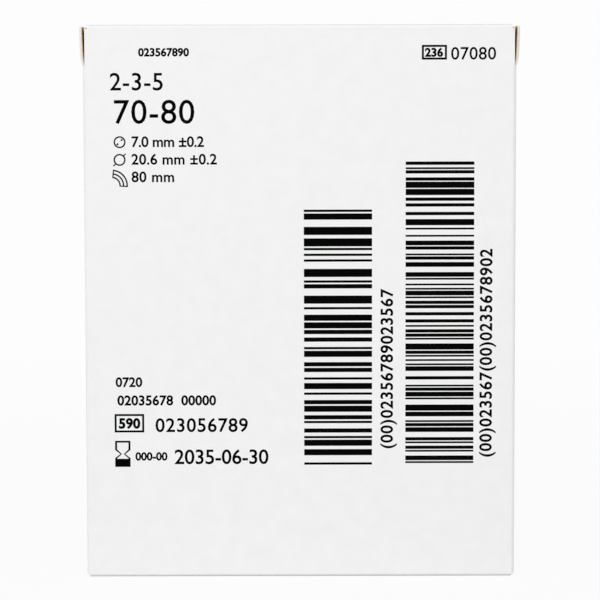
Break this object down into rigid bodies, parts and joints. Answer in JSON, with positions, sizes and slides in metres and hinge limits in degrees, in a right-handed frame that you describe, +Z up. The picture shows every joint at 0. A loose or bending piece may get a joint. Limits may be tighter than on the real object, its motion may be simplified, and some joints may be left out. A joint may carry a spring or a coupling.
{
  "type": "folding carton",
  "caption": "Upright white board carton for a ward disposable, with a tuck-in lid hinged on its label panel, slit top corners, brown inside and a glued flat bottom.",
  "frame": {"origin": "centre of the closed carton's plan, on the surface that it stands on", "axes": "+X to the right of the label panel, +Y from the label panel to the rear panel, +Z up to the lid"},
  "size_m": [0.1504, 0.05, 0.1905],
  "materials": {
    "board": "white clay-coated outside, bare brown inside, matt"
  },
  "bodies": {
    "carton": {"carton_body": "board"},
    "lid": {"top_lid": "board"}
  },
  "joints": [
    {"name": "lid_hinge", "type": "hinge", "parent": "carton", "child": "lid", "pos_m": [0, -0.025, 0.1905], "axis": [1, 0, 0], "range_deg": [0, 180]}
  ]
}
